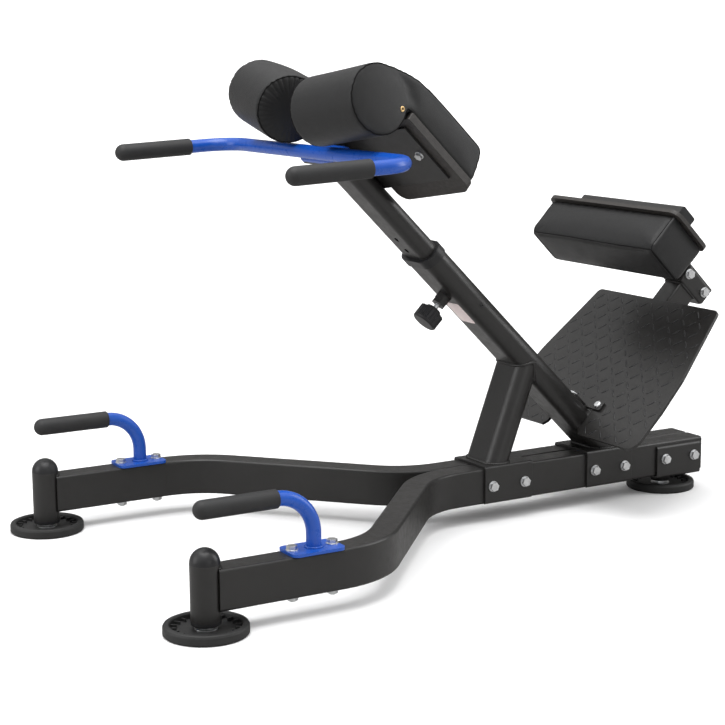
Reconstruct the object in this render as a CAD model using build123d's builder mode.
from build123d import *
import math
import os

# Back-extension bench: a 45 degree mast with thigh pads, footplate and ankle pad, on two
# legs that spread to the front.
# Millimetres. Z is up with the floor at 0, X runs across with the left side at +X, and
# +Y points to the rear. The two front posts stand at y = FRONT_Y; most y sizes are
# measured back from there. On the mast, p is the station down the mast and q the height
# square to it, up and to the rear.

os.makedirs("parts", exist_ok=True)

# ---------------------------------------------------------------- driving sizes
FRONT_Y = -628.973
COS45 = math.sqrt(0.5)

LEG_X = 355.0               # centre of each front post and leg
LEG_W, LEG_H, WALL = 50.0, 70.0, 3.0
BEAM_X = LEG_W / 2          # leg centre once the two legs run side by side
LEG_Z0 = 38.0               # underside of the legs
LEG_ZC = LEG_Z0 + LEG_H / 2
LEG_Z1 = LEG_Z0 + LEG_H
LEG_FRONT = 14.0            # front end of each leg
BEND_R, BEND_ANGLE = 165.0, 48.0
BEND_Y = 243.0              # where the first bend starts
BEAM_END = 1284.0
PLATE_T = 5.0
SEAT_Z = LEG_Z1 + PLATE_T   # top of the plates that lie on the legs

POST_R = 25.0
POST_Z0, POST_Z1 = 22.0, 115.0
PAD_FOOT_H = 17.5           # height of the foot cups
FOOT_FLOOR = 8.0            # thickness of the cup floor
BOSS_Z = 15.0               # underside of the post plugs and the rear boss
REAR_FOOT_Y = 1221.0
THREAD_R = 6.0
THREAD_FIT = THREAD_R + 0.05

SADDLE_FRONT = (741.0, 852.0)
SADDLE_MID = (987.0, 1100.0)
SADDLE_REAR = (1167.0, 1281.0)
SADDLE_W = 2 * LEG_W + 0.2  # inside width over both beam tubes
SADDLE_X = SADDLE_W / 2 + PLATE_T
BEAM_BOLT_Y = (759.0, 834.0, 1006.0, 1081.0, 1188.0, 1263.0)

# M10 and M8 hardware; hexagons are given by half their width across flats
M10_R, M10_BORE, M10_HOLE = 5.0, 5.05, 5.4
M10_HEX, M10_HEAD_H, M10_NUT_H = 8.0, 6.4, 8.0
M10_WASHER_R, M10_WASHER_T = 10.5, 1.6
M8_R, M8_TIGHT, M8_HOLE = 4.0, 4.1, 4.4
M8_HEX, M8_HEAD_H = 6.5, 5.3

MAST_W, MAST_T = 100.0, 50.0
MAST_Q = 822.0              # mast centre line
MAST_FRONT_Q = MAST_Q - MAST_T / 2
MAST_BACK_Q = MAST_Q + MAST_T / 2
MAST_TOP = 70.0             # station of the outer tube's open end
INNER_W, INNER_T = 90.0, 40.0
INNER_END = 330.0
PIN_P = 167.0               # station of the pop pin
PIN_R = 5.0
HOLE_PITCH = 31.2
HOLES_UP, HOLES_DOWN = 5, 4
SCREW_P = 216.0             # station of the set screw

SUPPORT_Y, SUPPORT_ANGLE = 783.0, 69.4

BAR_R, BAR_WALL = 12.7, 2.5
GRIP_R = 16.0
GRIP_END = 10.0             # a bar stops this far inside the tip of its grip
LOW_Z, LOW_Y, LOW_R = 203.0, 197.0, 66.0
LOW_TIP, LOW_GRIP = -18.0, 148.0
LOW_PLATE_Y, LOW_BOLT_OFFSET = 194.0, 37.5
LOW_BOLT_Y = (LOW_PLATE_Y - LOW_BOLT_OFFSET, LOW_PLATE_Y + LOW_BOLT_OFFSET)
UP_X, UP_Z, UP_Y, UP_R = 344.5, 728.0, 405.5, 60.0
UP_DROOP = 2.46             # droop of the two upper arms, degrees
UP_TIP, UP_GRIP = 244.5, 155.0

HEAD_P = (UP_Y - UP_Z) * COS45 + BAR_R + 0.005      # station just under the handlebar
HEAD_Q = 812.0
HEAD_BASE_T = 6.0
HEAD_BOLT_X = 54.0
INNER_TOP = HEAD_P + HEAD_BASE_T + PLATE_T          # just under the two head plates

WING_ANGLE, WING_X = math.radians(12.5), 27.0
WING_P = (-219.0, -90.0)
WING_L = 178.0
PAD_BOLT_P, PAD_BOLT_OUT = -155.0, (45, 159)
BOARD_T = 15.0
ROLL_P, ROLL_HEIGHT, ROLL_R = -299.0, -15.0, 65.0   # round upper end of the thigh cushion
PAD_OUT = (17.0, 202.0)     # inner and outer end of each cushion along its wing

FOOTPLATE_P, FOOTPLATE_T = 568.5, 6.0
FOOTPLATE_Q0, FOOTPLATE_Q1 = 786.0, 1130.0
FOOTPLATE_BOLTS = ((-62, 858), (62, 858))           # x, q
FOOTPLATE_MAST_BOLT = (0, 545)                      # x, p

ARM_Q = 1189.0              # underside of the ankle arm
ARM_W, ARM_H = 50.0, 40.0
ARM_P = (412.5, 646.0)
ARM_BRACKET_W = 60.4
ARM_BOLTS = ((574, ARM_Q + 19), (632, ARM_Q + 19))  # p, q
CROSS_P, CROSS_X = 392.5, 155.0                     # cross tube centre and half length
CROSS_SIZE = 40.0
ANKLE_SCREWS = ((-110, CROSS_P), (110, CROSS_P))    # x, p
BOARD_Q = 1181.0            # underside of the ankle board
CUSHION_P, CUSHION_Q, CUSHION_W = (343.0, 445.0), 1097.0, 400.0

SIDES = ((1, "l"), (-1, "r"))

# ---------------------------------------------------------------- planes of the mast
# up the mast: local x, q; the plane of station p is offset by -p
mast_up = Plane(origin=(0, FRONT_Y, 0), x_dir=(1, 0, 0), z_dir=(0, -COS45, COS45))
# side view: local p, q
mast_side = Plane(origin=(0, FRONT_Y, 0), x_dir=(0, COS45, -COS45), z_dir=(1, 0, 0))
# square to the mast: local x, p
mast_face = Plane(origin=(0, FRONT_Y, 0), x_dir=(1, 0, 0), z_dir=(0, COS45, COS45))
q_axis = Axis((0, 0, 0), (0, COS45, COS45))


# ---------------------------------------------------------------- helpers
def write(label, part):
    part.label = label
    export_step(part, f"parts/{label}.step")


# The next five join a shape to the caller's open part, or cut it with Mode.SUBTRACT.
def rod(plane, centre, radius, length, bore=0.0, mode=Mode.ADD):
    with BuildPart() as piece:
        with BuildSketch(plane):
            with Locations(centre):
                Circle(radius)
                if bore:
                    Circle(bore, mode=Mode.SUBTRACT)
        extrude(amount=length)
    add(piece.part, mode=mode)


def hex_rod(plane, centre, flat, length, rotation=0, bore=0.0, mode=Mode.ADD):
    with BuildPart() as piece:
        with BuildSketch(plane):
            with Locations(centre):
                RegularPolygon(
                    radius=flat, side_count=6, major_radius=False, rotation=rotation
                )
                if bore:
                    Circle(bore, mode=Mode.SUBTRACT)
        extrude(amount=length)
    add(piece.part, mode=mode)


def slot_bar(plane, width, thickness, length, centre=(0, MAST_Q), mode=Mode.ADD):
    with BuildPart() as piece:
        with BuildSketch(plane):
            with Locations(centre):
                SlotOverall(width, thickness)
        extrude(amount=length)
    add(piece.part, mode=mode)


def block(plane, centre, width, height, length, corner=0.0, mode=Mode.ADD):
    with BuildPart() as piece:
        with BuildSketch(plane):
            with Locations(centre):
                if corner:
                    RectangleRounded(width, height, corner)
                else:
                    Rectangle(width, height)
        extrude(amount=length)
    add(piece.part, mode=mode)


def holes(plane, centres, radius, depth):
    with BuildPart() as piece:
        with BuildSketch(plane):
            with Locations(*centres):
                Circle(radius)
        extrude(amount=depth)
    add(piece.part, mode=Mode.SUBTRACT)


def box_section(width, height, corner, inner_corner):
    """Draw a square-tube section in the open sketch."""
    RectangleRounded(width, height, corner)
    RectangleRounded(
        width - 2 * WALL, height - 2 * WALL, inner_corner, mode=Mode.SUBTRACT
    )


def bar_section():
    """Draw the handlebar tube's section in the open sketch."""
    Circle(BAR_R)
    Circle(BAR_R - BAR_WALL, mode=Mode.SUBTRACT)


def m10_head(plane, centre, rotation=0):
    """Washer and bolt head standing on the plane."""
    rod(plane, centre, M10_WASHER_R, M10_WASHER_T)
    hex_rod(plane.offset(M10_WASHER_T), centre, M10_HEX, M10_HEAD_H, rotation)


def m10_nut(plane, centre):
    """Washer and nut hanging below the plane."""
    rod(plane, centre, M10_WASHER_R, -M10_WASHER_T, bore=M10_BORE)
    hex_rod(plane.offset(-M10_WASHER_T), centre, M10_HEX, -M10_NUT_H, bore=M10_BORE)


def upright(x, y):
    """Plane through a vertical axis, with local x, z, and that axis."""
    plane = Plane(origin=(x, y, 0), x_dir=(1, 0, 0), z_dir=(0, -1, 0))
    return plane, Axis((x, y, 0), (0, 0, 1))


# ================================================================ feet
# half section of the cup: radius, z
CUP_SECTION = (
    (7.0, 0), (68.0, 0), (70.0, 2.5), (70.0, 13.0), (68.5, 16.3), (66.0, PAD_FOOT_H),
    (60.5, PAD_FOOT_H), (58.5, 15.5), (57.0, FOOT_FLOOR), (7.0, FOOT_FLOOR), (7.0, 0),
)


def foot_cup(x, y):
    plane, axis = upright(x, y)
    with BuildPart() as cup:
        with BuildSketch(plane):
            with BuildLine():
                Polyline(*CUP_SECTION)
            make_face()
        revolve(axis=axis)
        # short ribs stiffen the rim on the inside
        with BuildSketch(Plane(origin=(x, y, FOOT_FLOOR - 0.5))):
            with PolarLocations(52.5, 20):
                Rectangle(10.5, 2.6)
        extrude(amount=5.5)
        # shallow grooves under the sole
        with BuildSketch(Plane(origin=(x, y, 0))):
            for radius in (25.0, 45.0):
                Circle(radius + 1.5)
                Circle(radius - 1.5, mode=Mode.SUBTRACT)
        extrude(amount=1.5, mode=Mode.SUBTRACT)
    return cup.part


def foot_stud(x, y, top):
    """Washer, hex base and a stud that runs up into the frame."""
    washer_t, stud_z = 1.8, 2.5
    with BuildPart() as stud:
        rod(Plane.XY.offset(FOOT_FLOOR), (x, y), 19.0, washer_t)
        hex_rod(Plane.XY.offset(FOOT_FLOOR + washer_t), (x, y), 9.0, 4.6)
        rod(Plane.XY.offset(stud_z), (x, y), THREAD_R, top - stud_z)
    return stud.part


for name, x, y, stud_top in (
    ("front_{}_l", LEG_X, FRONT_Y, 62.0),
    ("front_{}_r", -LEG_X, FRONT_Y, 62.0),
    ("rear_{}", 0, FRONT_Y + REAR_FOOT_Y, 32.0),
):
    write(name.format("foot"), foot_cup(x, y))
    write(name.format("stud"), foot_stud(x, y, stud_top))


# ================================================================ front posts
def front_post(x):
    with BuildPart() as post:
        rod(Plane.XY.offset(POST_Z0), (x, FRONT_Y), POST_R, POST_Z1 - POST_Z0,
            bore=POST_R - WALL)
    return post.part


def post_cap(x):
    """Domed cap with a spigot in the post."""
    plane, axis = upright(x, FRONT_Y)
    spigot_r, spigot_z = POST_R - WALL - 0.2, POST_Z1 - 16
    dome_z = POST_Z1 + 1.5
    with BuildPart() as cap:
        with BuildSketch(plane):
            with BuildLine():
                Polyline(
                    (0, spigot_z), (spigot_r, spigot_z), (spigot_r, POST_Z1),
                    (POST_R, POST_Z1), (POST_R, dome_z),
                )
                ThreePointArc(
                    (POST_R, dome_z),
                    (POST_R * COS45, dome_z + POST_R * COS45),
                    (0, dome_z + POST_R),
                )
                Line((0, dome_z + POST_R), (0, spigot_z))
            make_face()
        revolve(axis=axis)
    return cap.part


def post_plug(x):
    """Bottom plug with a central hole for the foot stud."""
    plane, axis = upright(x, FRONT_Y)
    plug_r, plug_top = POST_R - WALL - 0.05, 48.0
    with BuildPart() as plug:
        with BuildSketch(plane):
            with BuildLine():
                Polyline(
                    (THREAD_FIT, BOSS_Z), (POST_R - 1.5, BOSS_Z), (POST_R, BOSS_Z + 1.5),
                    (POST_R, POST_Z0), (plug_r, POST_Z0), (plug_r, plug_top),
                    (THREAD_FIT, plug_top), (THREAD_FIT, BOSS_Z),
                )
            make_face()
        revolve(axis=axis)
    return plug.part


for side, tag in SIDES:
    write(f"front_post_{tag}", front_post(side * LEG_X))

for label, make_end in (("post_caps", post_cap), ("post_plugs", post_plug)):
    with BuildPart() as post_ends:
        add(make_end(LEG_X))
        add(make_end(-LEG_X))
    write(label, post_ends.part)


# ================================================================ legs
def leg(side):
    """Tube that runs back from the post, bends inwards and bends back along the beam."""
    angle = math.radians(BEND_ANGLE)
    bend_x, bend_y = BEND_R * (1 - math.cos(angle)), BEND_R * math.sin(angle)
    mid_x, mid_y = BEND_R * (1 - math.cos(angle / 2)), BEND_R * math.sin(angle / 2)
    # straight length between the two bends
    run = (LEG_X - BEAM_X - 2 * bend_x) / math.sin(angle)
    run_x0, run_y0 = LEG_X - bend_x, BEND_Y + bend_y
    run_x1, run_y1 = run_x0 - run * math.sin(angle), run_y0 + run * math.cos(angle)
    beam_y = run_y1 + bend_y

    def at(x, y):
        return (side * x, FRONT_Y + y, LEG_ZC)

    start = at(LEG_X, LEG_FRONT)
    bend_start, run_start = at(LEG_X, BEND_Y), at(run_x0, run_y0)
    run_end, beam_start = at(run_x1, run_y1), at(BEAM_X, beam_y)
    with BuildPart() as tube:
        with BuildLine() as path:
            Line(start, bend_start)
            ThreePointArc(bend_start, at(LEG_X - mid_x, BEND_Y + mid_y), run_start)
            Line(run_start, run_end)
            ThreePointArc(run_end, at(BEAM_X + mid_x, beam_y - mid_y), beam_start)
            Line(beam_start, at(BEAM_X, BEAM_END))
        with BuildSketch(Plane(origin=start, x_dir=(1, 0, 0), z_dir=(0, 1, 0))):
            box_section(LEG_W, LEG_H, 5.0, 2.5)
        sweep(path=path.line)
        # cope round the front post
        holes(Plane.XY, [(side * LEG_X, FRONT_Y)], POST_R, 200)
        # cross holes along the beam
        beam_holes = [(FRONT_Y + y, LEG_ZC) for y in BEAM_BOLT_Y]
        holes(Plane.YZ.offset(-60), beam_holes, M10_HOLE, 120)
        # upright holes for the low handle
        handle_holes = [(side * LEG_X, FRONT_Y + y) for y in LOW_BOLT_Y]
        holes(Plane.XY.offset(LEG_Z0 - 5), handle_holes, M10_HOLE, 90)
    return tube.part


for side, tag in SIDES:
    write(f"leg_{tag}", leg(side))

with BuildPart() as beam_end_caps:
    beam_ends = ((BEAM_X, LEG_ZC), (-BEAM_X, LEG_ZC))
    with BuildSketch(Plane.XZ.offset(-(FRONT_Y + BEAM_END))):
        with Locations(*beam_ends):
            RectangleRounded(LEG_W - 0.4, LEG_H, 5.0)
    extrude(amount=-4.0)
    with BuildSketch(Plane.XZ.offset(-(FRONT_Y + BEAM_END))):
        with Locations(*beam_ends):
            RectangleRounded(LEG_W - 2 * WALL - 0.3, LEG_H - 2 * WALL - 0.3, 2.3)
    extrude(amount=14.0)
write("beam_end_caps", beam_end_caps.part)


# ================================================================ saddles
def saddle_bolt_holes(y0, y1):
    centres = [(FRONT_Y + y, LEG_ZC) for y in BEAM_BOLT_Y if y0 < y < y1]
    holes(Plane.YZ.offset(-70), centres, M10_HOLE, 140)


def saddle(y0, y1):
    """Bent plate over the two beam tubes."""
    height = LEG_H + PLATE_T
    with BuildPart() as plate:
        with BuildSketch(Plane.XZ.offset(-(FRONT_Y + y0))):
            with Locations((0, SEAT_Z - height / 2)):
                RectangleRounded(2 * SADDLE_X, height, 6.0)
            with Locations((0, LEG_Z1 - 75)):
                Rectangle(SADDLE_W, 150, mode=Mode.SUBTRACT)
        extrude(amount=-(y1 - y0))
        saddle_bolt_holes(y0, y1)
    return plate.part


def rear_bracket(y0, y1):
    """Bent plate under the two beam tubes, with a hole for the rear stud."""
    drop = 8                # its sides stop this far below the top of the tubes
    side_h = LEG_H - drop
    with BuildPart() as plate:
        with BuildSketch(Plane.XZ.offset(-(FRONT_Y + y0))):
            with Locations((0, LEG_Z0 + side_h / 2 - PLATE_T / 2)):
                RectangleRounded(2 * SADDLE_X, side_h + PLATE_T, 6.0)
            with Locations((0, LEG_Z0 + 75)):
                Rectangle(SADDLE_W, 150, mode=Mode.SUBTRACT)
            with Locations((0, LEG_Z1 - drop + 100)):
                Rectangle(300, 200, mode=Mode.SUBTRACT)
        extrude(amount=-(y1 - y0))
        saddle_bolt_holes(y0, y1)
        holes(Plane.XY.offset(20), [(0, FRONT_Y + REAR_FOOT_Y)], THREAD_R + 0.4, 18)
    return plate.part


write("front_saddle", saddle(*SADDLE_FRONT))
write("mid_saddle", saddle(*SADDLE_MID))
write("rear_bracket", rear_bracket(*SADDLE_REAR))

with BuildPart() as rear_boss:
    rod(Plane.XY.offset(BOSS_Z), (0, FRONT_Y + REAR_FOOT_Y), 20.0,
        LEG_Z0 - PLATE_T - BOSS_Z, bore=THREAD_FIT)
write("rear_boss", rear_boss.part)

# cross bolts: head on the left side, nut on the right side
with BuildPart() as beam_bolts:
    for y in BEAM_BOLT_Y:
        centre = (FRONT_Y + y, LEG_ZC)
        m10_head(Plane.YZ.offset(SADDLE_X), centre, rotation=12)
        rod(Plane.YZ.offset(-SADDLE_X - 12.0), centre, M10_R, 2 * SADDLE_X + 13.0)
write("beam_bolts", beam_bolts.part)

# nuts along the beam, under the low handles and on the ankle arm
with BuildPart() as m10_nuts:
    for y in BEAM_BOLT_Y:
        m10_nut(Plane.YZ.offset(-SADDLE_X), (FRONT_Y + y, LEG_ZC))
    for side in (1, -1):
        for y in LOW_BOLT_Y:
            m10_nut(Plane.XY.offset(LEG_Z0), (side * LEG_X, FRONT_Y + y))
    for centre in ARM_BOLTS:
        m10_nut(mast_side.offset(-ARM_BRACKET_W / 2), centre)
write("m10_nuts", m10_nuts.part)


# ================================================================ handles
def low_handle(side):
    """Bar that runs back from its grip and bends down to the leg."""
    bend = LOW_R * (1 - COS45)

    def at(y, z):
        return (side * LEG_X, FRONT_Y + y, z)

    start = at(LOW_TIP + GRIP_END, LOW_Z)
    bend_start, bend_end = at(LOW_Y - LOW_R, LOW_Z), at(LOW_Y, LOW_Z - LOW_R)
    with BuildPart() as bar:
        with BuildLine() as path:
            Line(start, bend_start)
            ThreePointArc(bend_start, at(LOW_Y - bend, LOW_Z - bend), bend_end)
            Line(bend_end, at(LOW_Y, SEAT_Z))
        with BuildSketch(Plane(origin=start, x_dir=(1, 0, 0), z_dir=(0, 1, 0))):
            bar_section()
        sweep(path=path.line)
    return bar.part


def low_plate(side):
    with BuildPart() as plate:
        with BuildSketch(Plane(origin=(side * LEG_X, FRONT_Y + LOW_PLATE_Y, LEG_Z1))):
            RectangleRounded(62, 98, 12)
            with Locations((0, -LOW_BOLT_OFFSET), (0, LOW_BOLT_OFFSET)):
                Circle(M10_HOLE, mode=Mode.SUBTRACT)
        extrude(amount=PLATE_T)
    return plate.part


def up_bar(x, forward):
    """Point in the plane of the upper handlebar, so far forward of its crossbar."""
    angle = math.radians(UP_DROOP)
    return (
        x,
        FRONT_Y + UP_Y - forward * math.cos(angle),
        UP_Z - forward * math.sin(angle),
    )


def grip(tip, length, droop=0.0):
    """Closed sleeve with a round end, pushed over a bar that points to the front."""
    bore, bore_end = BAR_R + 0.05, 9.5
    along = (0, math.cos(math.radians(droop)), math.sin(math.radians(droop)))
    with BuildPart() as sleeve:
        with BuildSketch(Plane(origin=tip, x_dir=along, z_dir=(1, 0, 0))):
            with BuildLine():
                ThreePointArc(
                    (0, 0), (GRIP_R * (1 - COS45), GRIP_R * COS45), (GRIP_R, GRIP_R)
                )
                Polyline(
                    (GRIP_R, GRIP_R), (length - 1.5, GRIP_R), (length, GRIP_R - 1.2),
                    (length, bore), (bore_end, bore), (bore_end, 0), (0, 0),
                )
            make_face()
        revolve(axis=Axis(tip, along))
    return sleeve.part


for side, tag in SIDES:
    write(f"low_handle_{tag}", low_handle(side))
    write(f"low_plate_{tag}", low_plate(side))
    low_tip = (side * LEG_X, FRONT_Y + LOW_TIP, LOW_Z)
    write(f"low_grip_{tag}", grip(low_tip, LOW_GRIP))
    write(f"upper_grip_{tag}", grip(up_bar(side * UP_X, UP_TIP), UP_GRIP, UP_DROOP))

with BuildPart() as handle_bolts:
    for side in (1, -1):
        for y in LOW_BOLT_Y:
            centre = (side * LEG_X, FRONT_Y + y)
            m10_head(Plane.XY.offset(SEAT_Z), centre, rotation=8)
            rod(Plane.XY.offset(LEG_Z0 - 11.5), centre, M10_R, LEG_H + PLATE_T + 12.5)
write("handle_bolts", handle_bolts.part)

with BuildPart() as handlebar:
    bend = UP_R * (1 - COS45)
    bar_start = up_bar(UP_X, UP_TIP - GRIP_END)
    with BuildLine() as bar_path:
        Line(bar_start, up_bar(UP_X, UP_R))
        ThreePointArc(up_bar(UP_X, UP_R), up_bar(UP_X - bend, bend), up_bar(UP_X - UP_R, 0))
        Line(up_bar(UP_X - UP_R, 0), up_bar(-UP_X + UP_R, 0))
        ThreePointArc(
            up_bar(-UP_X + UP_R, 0), up_bar(-UP_X + bend, bend), up_bar(-UP_X, UP_R)
        )
        Line(up_bar(-UP_X, UP_R), up_bar(-UP_X, UP_TIP - GRIP_END))
    droop = math.radians(UP_DROOP)
    arm_dir = (0, math.cos(droop), math.sin(droop))
    with BuildSketch(Plane(origin=bar_start, x_dir=(1, 0, 0), z_dir=arm_dir)):
        bar_section()
    sweep(path=bar_path.line)
write("handlebar", handlebar.part)

# ================================================================ mast
with BuildPart() as mast_outer:
    top = mast_up.offset(-MAST_TOP)
    slot_bar(top, MAST_W, MAST_T, -700)
    slot_bar(top, MAST_W - 2 * WALL, MAST_T - 2 * WALL, -700, mode=Mode.SUBTRACT)
    # level cut on the middle saddle
    block(Plane.XY.offset(SEAT_Z), (0, FRONT_Y + 1100), 400, 1200, -400,
          mode=Mode.SUBTRACT)
    # pop pin hole, footplate bracket hole, set screw hole
    holes(mast_face.offset(MAST_FRONT_Q - 7), [(0, PIN_P)], 8.1, 15)
    holes(mast_face.offset(MAST_BACK_Q - 7), [FOOTPLATE_MAST_BOLT], M10_HOLE, 10)
    holes(mast_side.offset(40), [(SCREW_P, MAST_Q)], M8_R + 0.05, 20)
write("mast_outer", mast_outer.part)

# leaning post from the front saddle to the underside of the mast
with BuildPart() as support_post:
    lean = math.radians(SUPPORT_ANGLE)
    post_start = Plane(
        origin=(0, FRONT_Y + SUPPORT_Y, SEAT_Z),
        x_dir=(1, 0, 0),
        z_dir=(0, math.cos(lean), math.sin(lean)),
    ).offset(-40)
    slot_bar(post_start, MAST_W, MAST_T, 300, centre=(0, 0))
    slot_bar(post_start, MAST_W - 2 * WALL, MAST_T - 2 * WALL, 300, centre=(0, 0),
             mode=Mode.SUBTRACT)
    block(Plane.XY.offset(SEAT_Z), (0, FRONT_Y + SUPPORT_Y), 300, 400, -100,
          mode=Mode.SUBTRACT)
    # everything behind the mast centre plane goes, then the mast section itself
    block(mast_face.offset(MAST_Q), (0, 400), 300, 900, 300, mode=Mode.SUBTRACT)
    slot_bar(mast_up.offset(-100), MAST_W, MAST_T, -600, mode=Mode.SUBTRACT)
write("support_post", support_post.part)

with BuildPart() as mast_inner:
    with BuildSketch(mast_up.offset(-INNER_TOP)):
        with Locations((0, MAST_Q)):
            SlotOverall(INNER_W, INNER_T)
            SlotOverall(INNER_W - 2 * WALL, INNER_T - 2 * WALL, mode=Mode.SUBTRACT)
    extrude(amount=-(INNER_END - INNER_TOP))
    steps = range(-HOLES_UP, HOLES_DOWN + 1)
    pin_holes = [(0, PIN_P + HOLE_PITCH * step) for step in steps]
    holes(mast_face.offset(MAST_FRONT_Q - 2), pin_holes, 5.5, 14)
write("mast_inner", mast_inner.part)

# moulded guide over the open end of the outer tube, lip outside and sleeve inside
with BuildPart() as mast_collar:
    lip_w, lip_t, top_t = MAST_W + 5, MAST_T + 5, 6
    top = mast_up.offset(-MAST_TOP)
    slot_bar(mast_up.offset(-(MAST_TOP - top_t)), lip_w, lip_t, -top_t)
    with BuildSketch(top):
        with Locations((0, MAST_Q)):
            SlotOverall(lip_w, lip_t)
            SlotOverall(MAST_W + 0.1, MAST_T + 0.1, mode=Mode.SUBTRACT)
    extrude(amount=-13)
    slot_bar(top, MAST_W - 2 * WALL - 0.1, MAST_T - 2 * WALL - 0.1, -55)
    slot_bar(mast_up.offset(-40), INNER_W + 0.15, INNER_T + 0.15, -110,
             mode=Mode.SUBTRACT)
write("mast_collar", mast_collar.part)

with BuildPart() as inner_plug:
    inner_end = mast_up.offset(-INNER_END)
    slot_bar(inner_end, MAST_W - 2 * WALL - 0.3, MAST_T - 2 * WALL - 0.3, -5)
    slot_bar(inner_end, INNER_W - 2 * WALL - 0.2, INNER_T - 2 * WALL - 0.2, 18)
write("inner_plug", inner_plug.part)

# set screw in the left side of the mast, with a hex socket
with BuildPart() as set_screw:
    rod(mast_side.offset(46.5), (SCREW_P, MAST_Q), M8_R, 4.3)
    hex_rod(mast_side.offset(49.0), (SCREW_P, MAST_Q), 2.0, 3, mode=Mode.SUBTRACT)
write("set_screw", set_screw.part)

# ================================================================ pop pin
PIN_CENTRE = (0, PIN_P)
PIN_START_Q, PIN_SHOULDER_Q = 735.0, 799.0
KNOB_Q, KNOB_R, KNOB_H = 729.0, 25.0, 28.0

with BuildPart() as pin_housing:
    hex_h, collar_h = 10, 12
    collar_q = MAST_FRONT_Q - collar_h
    hex_rod(mast_face.offset(collar_q - hex_h), PIN_CENTRE, 13.0, hex_h, rotation=30)
    rod(mast_face.offset(collar_q), PIN_CENTRE, 14.0, collar_h)
    rod(mast_face.offset(MAST_FRONT_Q), PIN_CENTRE, 8.0, WALL)
    # through bore for the pin, then the chamber for its flange and spring
    holes(mast_face.offset(770), [PIN_CENTRE], PIN_R + 0.05, 40)
    holes(mast_face.offset(778), [PIN_CENTRE], 8.6, 17.5)
write("pin_housing", pin_housing.part)

# pin with a tapered nose and a flange
with BuildPart() as pop_pin:
    rod(mast_face.offset(PIN_START_Q), PIN_CENTRE, PIN_R, PIN_SHOULDER_Q - PIN_START_Q)
    with BuildSketch(mast_face.offset(PIN_SHOULDER_Q)):
        with Locations(PIN_CENTRE):
            Circle(PIN_R)
    extrude(amount=1.5, taper=35)
    rod(mast_face.offset(781.2), PIN_CENTRE, 8.5, 2.8)
write("pop_pin", pop_pin.part)

with BuildPart() as pin_spring:
    spring_at = mast_face.location * Location((0, PIN_P, 778.55))
    with BuildLine() as turns:
        Helix(pitch=0.95, height=2.1, radius=7.0)
    spring_path = turns.line.moved(spring_at)
    with BuildSketch(Plane(origin=spring_path @ 0, z_dir=spring_path % 0)) as wire:
        Circle(0.4)
    sweep(sections=wire.sketch, path=spring_path, is_frenet=True)
write("pin_spring", pin_spring.part)

with BuildPart() as knob:
    rod(mast_face.offset(KNOB_Q), PIN_CENTRE, KNOB_R, KNOB_H)
    fillet(knob.edges().filter_by(GeomType.CIRCLE).sort_by(q_axis)[0], 5.0)
    rod(mast_face.offset(KNOB_Q + KNOB_H), PIN_CENTRE, 15.0, 6.5)
    # finger flutes
    with BuildSketch(mast_face.offset(KNOB_Q + 5)):
        with Locations(PIN_CENTRE):
            with PolarLocations(KNOB_R + 0.6, 18):
                Circle(2.3)
    extrude(amount=24, mode=Mode.SUBTRACT)
    holes(mast_face.offset(PIN_START_Q), [PIN_CENTRE], PIN_R + 0.02, 40)
write("knob", knob.part)


# ================================================================ head of the mast
def head_plate(station, thickness, hole_r):
    with BuildPart() as plate:
        with BuildSketch(mast_up.offset(-station)):
            with Locations((0, HEAD_Q)):
                RectangleRounded(132, 40, 4)
                with Locations((-HEAD_BOLT_X, 0), (HEAD_BOLT_X, 0)):
                    Circle(hole_r, mode=Mode.SUBTRACT)
        extrude(amount=-thickness)
    return plate.part


write("handlebar_base", head_plate(HEAD_P, HEAD_BASE_T, M8_R + 0.05))
write("mast_top_plate", head_plate(HEAD_P + HEAD_BASE_T, PLATE_T, M8_HOLE))

with BuildPart() as head_bolts:
    for x in (-HEAD_BOLT_X, HEAD_BOLT_X):
        hex_rod(mast_up.offset(-INNER_TOP), (x, HEAD_Q), M8_HEX, -M8_HEAD_H)
        rod(mast_up.offset(-INNER_TOP), (x, HEAD_Q), M8_R, 10.5)
write("head_bolts", head_bolts.part)

# ================================================================ thigh pads
WING_COS, WING_SIN = math.cos(WING_ANGLE), math.sin(WING_ANGLE)


def wing_root(side):
    return (side * WING_X, FRONT_Y + MAST_BACK_Q * COS45, MAST_BACK_Q * COS45)


def wing_section(side):
    """Plane across the wing: local p, height off the plate times side; z runs outwards."""
    rise = WING_SIN * COS45
    return Plane(
        origin=wing_root(side), x_dir=(0, COS45, -COS45), z_dir=(side * WING_COS, rise, rise)
    )


def wing_face(side):
    """Plane on top of the wing: local p, distance out times -side; z is the height."""
    rise = WING_COS * COS45
    return Plane(
        origin=wing_root(side), x_dir=(0, COS45, -COS45), z_dir=(-side * WING_SIN, rise, rise)
    )


def pad_bolt_points(side):
    return [(PAD_BOLT_P, -side * out) for out in PAD_BOLT_OUT]


# bent plate that carries the two thigh pads: flat on the mast, wings raised
with BuildPart() as pad_plate:
    tip_x, tip_q = WING_X + WING_L * WING_COS, MAST_BACK_Q + WING_L * WING_SIN
    under_x, under_q = tip_x + PLATE_T * WING_SIN, tip_q - PLATE_T * WING_COS
    bend_x, bend_q = WING_X + PLATE_T * math.tan(WING_ANGLE / 2), MAST_BACK_Q - PLATE_T
    with BuildSketch(mast_up.offset(-WING_P[0])):
        with BuildLine():
            Polyline(
                (-WING_X, MAST_BACK_Q), (WING_X, MAST_BACK_Q), (tip_x, tip_q),
                (under_x, under_q), (bend_x, bend_q), (-bend_x, bend_q),
                (-under_x, under_q), (-tip_x, tip_q), (-WING_X, MAST_BACK_Q),
            )
        make_face()
    extrude(amount=-(WING_P[1] - WING_P[0]))
    for side in (1, -1):
        holes(wing_face(side).offset(-20), pad_bolt_points(side), M8_HOLE, 40)
write("pad_plate", pad_plate.part)


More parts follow.
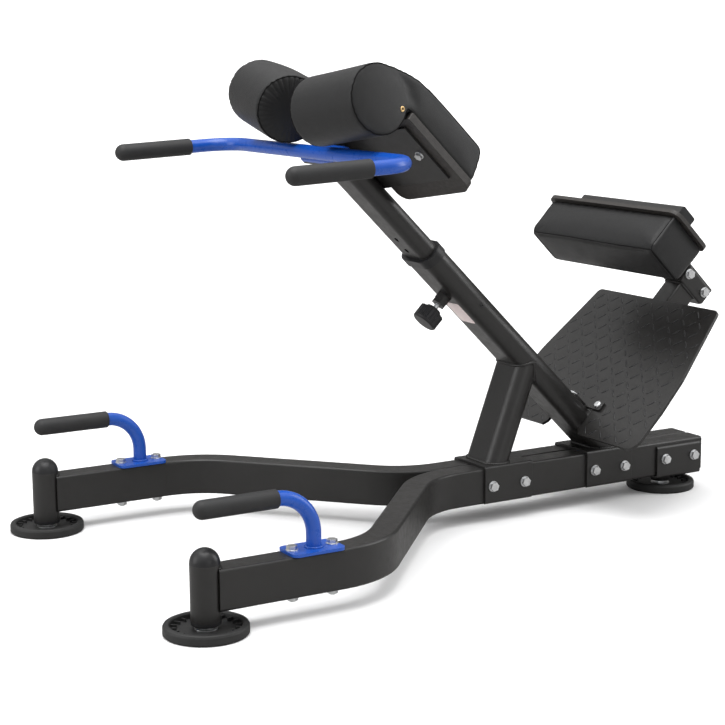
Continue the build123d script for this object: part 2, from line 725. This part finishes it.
def thigh_board(side):
    with BuildPart() as board:
        with BuildSketch(wing_face(side)) as face:
            with Locations((-142, -side * 106)):
                Rectangle(184, 188)
            fillet(face.vertices().group_by(Axis.X)[-1], 22)
            fillet(face.vertices().group_by(Axis.X)[0], 4)
        extrude(amount=BOARD_T)
        holes(wing_face(side).offset(-1.0), pad_bolt_points(side), M8_TIGHT, 12)
    return board.part


def thigh_cushion(side):
    """Padded top with a round roll at its upper end, lying on the board."""
    under = BOARD_T + 0.1
    roll_angle = math.radians(120)  # where the roll runs into the top

    def at(station, height):
        return (station, side * height)

    roll_top = at(
        ROLL_P + ROLL_R * math.cos(roll_angle), ROLL_HEIGHT + ROLL_R * math.sin(roll_angle)
    )
    roll_under = at(ROLL_P + math.sqrt(ROLL_R**2 - (under - ROLL_HEIGHT) ** 2), under)
    crest, top_end = at(-230.0, 80.5), at(-88.0, 83.0)
    nose, bottom = at(-67.5, 65.0), at(-52.0, under)
    with BuildPart() as cushion:
        with BuildSketch(wing_section(side).offset(PAD_OUT[0])):
            with BuildLine():
                Spline(roll_top, crest, tangents=[at(0.866, 0.5), at(1.0, 0.04)])
                Line(crest, top_end)
                ThreePointArc(top_end, at(-75.0, 77.5), nose)
                Line(nose, bottom)
                Line(bottom, roll_under)
                ThreePointArc(roll_under, at(ROLL_P, ROLL_HEIGHT - ROLL_R), roll_top)
            make_face()
        extrude(amount=PAD_OUT[1] - PAD_OUT[0])
    return cushion.part


for side, tag in SIDES:
    write(f"thigh_board_{tag}", thigh_board(side))
    write(f"thigh_cushion_{tag}", thigh_cushion(side))

with BuildPart() as pad_bolts:
    washer_t = 1.4
    for side in (1, -1):
        for centre in pad_bolt_points(side):
            under_wing = wing_face(side).offset(-PLATE_T)
            rod(under_wing, centre, 8.5, -washer_t)
            hex_rod(under_wing.offset(-washer_t), centre, M8_HEX, -M8_HEAD_H)
            rod(wing_face(side).offset(-7.0), centre, M8_R, 17.0)
write("pad_bolts", pad_bolts.part)

# ================================================================ footplate
FOOTPLATE_BACK = FOOTPLATE_P + FOOTPLATE_T          # station of the lower face

# left half of the outline, from the top edge down and round the mast slot: x, q
FOOTPLATE_HALF = [
    (188, FOOTPLATE_Q1), (225, 960), (232, 880), (232, FOOTPLATE_Q0),
    (60, FOOTPLATE_Q0), (51, 797), (51, 850),
]

with BuildPart() as footplate:
    mirrored = [(-x, q) for x, q in reversed(FOOTPLATE_HALF)]
    with BuildSketch(mast_up.offset(-FOOTPLATE_BACK)):
        with BuildLine():
            Polyline(mirrored[-1], *FOOTPLATE_HALF, *mirrored)
        make_face()
    extrude(amount=FOOTPLATE_T)
    # round the corners at the far edge, then those at the near edge
    through = Axis((0, 0, 0), (0, -COS45, COS45))
    edges = footplate.edges().filter_by(through)
    fillet([edge for edge in edges if abs(abs(edge.center().X) - 188) < 2], 12)
    edges = footplate.edges().filter_by(through)
    fillet(
        [e for e in edges if abs(abs(e.center().X) - 232) < 1 and e.center().Z < 200], 26
    )
    holes(mast_up.offset(-(FOOTPLATE_BACK + 2)), FOOTPLATE_BOLTS, M8_HOLE, 20)
write("footplate", footplate.part)

# two plates in an L: one on the footplate, one on the mast
with BuildPart() as footplate_bracket:
    with BuildSketch(mast_up.offset(-FOOTPLATE_P)):
        with Locations((0, 857)):
            RectangleRounded(150, 20, 3)
        with Locations(*FOOTPLATE_BOLTS):
            Circle(M8_HOLE, mode=Mode.SUBTRACT)
    extrude(amount=PLATE_T)
    with BuildSketch(mast_face.offset(MAST_BACK_Q)):
        with Locations((0, 548)):
            Rectangle(58, 40)
        with Locations(FOOTPLATE_MAST_BOLT):
            Circle(M10_HOLE, mode=Mode.SUBTRACT)
    extrude(amount=PLATE_T)
write("footplate_bracket", footplate_bracket.part)

# one bolt into the mast, two round-headed ones through the plate
with BuildPart() as footplate_fasteners:
    head_r, head_p = 8.0, FOOTPLATE_P - PLATE_T
    m10_head(mast_face.offset(MAST_BACK_Q + PLATE_T), FOOTPLATE_MAST_BOLT)
    rod(mast_face.offset(836), FOOTPLATE_MAST_BOLT, M10_R, 18)
    for centre in FOOTPLATE_BOLTS:
        rod(mast_up.offset(-head_p), centre, head_r, 4.4)
        rod(mast_up.offset(-(head_p + 1)), centre, M8_R, -20)
    head_edges = footplate_fasteners.edges().filter_by(GeomType.CIRCLE).filter_by(
        lambda edge: abs(edge.radius - head_r) < 0.1
    )
    fillet(head_edges.sort_by(Axis((0, 0, 0), (0, COS45, -COS45)))[0:2], 3.0)
    for centre in FOOTPLATE_BOLTS:
        hex_rod(mast_up.offset(-FOOTPLATE_BACK), centre, M8_HEX, -6.5)
write("footplate_fasteners", footplate_fasteners.part)

# ================================================================ ankle pad carrier
CROSS_CENTRE = (CROSS_P, ARM_Q + CROSS_SIZE / 2)
ARM_CENTRE = (0, ARM_Q + ARM_H / 2)

with BuildPart() as ankle_post:
    post_size = 50
    with BuildSketch(mast_face.offset(MAST_BACK_Q)):
        with Locations((0, FOOTPLATE_BACK + post_size / 2)):
            box_section(post_size, post_size, 5, 2.5)
    extrude(amount=ARM_Q - PLATE_T - MAST_BACK_Q)
write("ankle_post", ankle_post.part)

# channel that holds the arm on the post
with BuildPart() as arm_bracket:
    with BuildSketch(mast_up.offset(-643)):
        with Locations((0, ARM_Q - PLATE_T + 20)):
            RectangleRounded(ARM_BRACKET_W, 40, 5)
        with Locations((0, ARM_Q + 50)):
            Rectangle(ARM_BRACKET_W - 2 * PLATE_T, 100, mode=Mode.SUBTRACT)
        with Locations((0, ARM_Q + 85)):
            Rectangle(200, 100, mode=Mode.SUBTRACT)
    extrude(amount=76)
    holes(mast_side.offset(-50), ARM_BOLTS, M10_HOLE, 100)
write("arm_bracket", arm_bracket.part)

with BuildPart() as ankle_arm:
    with BuildSketch(mast_up.offset(-ARM_P[1])):
        with Locations(ARM_CENTRE):
            box_section(ARM_W, ARM_H, 4, 2)
    extrude(amount=ARM_P[1] - ARM_P[0])
    holes(mast_side.offset(-50), ARM_BOLTS, M10_HOLE, 100)
write("ankle_arm", ankle_arm.part)

with BuildPart() as ankle_cross_tube:
    with BuildSketch(mast_side.offset(-CROSS_X)):
        with Locations(CROSS_CENTRE):
            box_section(CROSS_SIZE, CROSS_SIZE, 4, 2)
    extrude(amount=2 * CROSS_X)
    holes(mast_face.offset(ARM_Q - 5), ANKLE_SCREWS, M8_HOLE, 12)
write("ankle_cross_tube", ankle_cross_tube.part)

# end caps of the cross tube and of the arm's lower end
with BuildPart() as ankle_tube_caps:
    inset = 2 * WALL + 0.3
    plug_size = CROSS_SIZE - inset
    for side in (1, -1):
        tube_end = mast_side.offset(side * CROSS_X)
        block(tube_end, CROSS_CENTRE, CROSS_SIZE, CROSS_SIZE, side * 3, corner=4)
        block(tube_end, CROSS_CENTRE, plug_size, plug_size, -side * 12, corner=1.8)
    arm_end = mast_up.offset(-ARM_P[1])
    block(arm_end, ARM_CENTRE, ARM_W, ARM_H, -3, corner=4)
    block(arm_end, ARM_CENTRE, ARM_W - inset, ARM_H - inset, 6, corner=1.8)
write("ankle_tube_caps", ankle_tube_caps.part)

with BuildPart() as arm_bolts:
    for centre in ARM_BOLTS:
        m10_head(mast_side.offset(ARM_BRACKET_W / 2), centre, rotation=10)
        rod(mast_side.offset(-41.5), centre, M10_R, 74)
write("arm_bolts", arm_bolts.part)

with BuildPart() as ankle_board:
    with BuildSketch(mast_face.offset(BOARD_Q)):
        with Locations((0, 391.5)):
            RectangleRounded(412, 113, 20)
        with Locations(*ANKLE_SCREWS):
            Circle(M8_TIGHT, mode=Mode.SUBTRACT)
    extrude(amount=ARM_Q - BOARD_Q)
write("ankle_board", ankle_board.part)

with BuildPart() as ankle_board_screws:
    for centre in ANKLE_SCREWS:
        rod(mast_face.offset(ARM_Q + WALL), centre, 7.0, 4)
        rod(mast_face.offset(BOARD_Q + 1), centre, M8_R, ARM_Q + WALL - BOARD_Q)
write("ankle_board_screws", ankle_board_screws.part)

# cushion under the ankle board, its far face rounded
with BuildPart() as ankle_cushion:
    block(mast_face.offset(CUSHION_Q), (0, sum(CUSHION_P) / 2), CUSHION_W,
          CUSHION_P[1] - CUSHION_P[0], BOARD_Q - CUSHION_Q - 0.1, corner=16)
    fillet(ankle_cushion.edges().group_by(q_axis)[0], 14)
write("ankle_cushion", ankle_cushion.part)
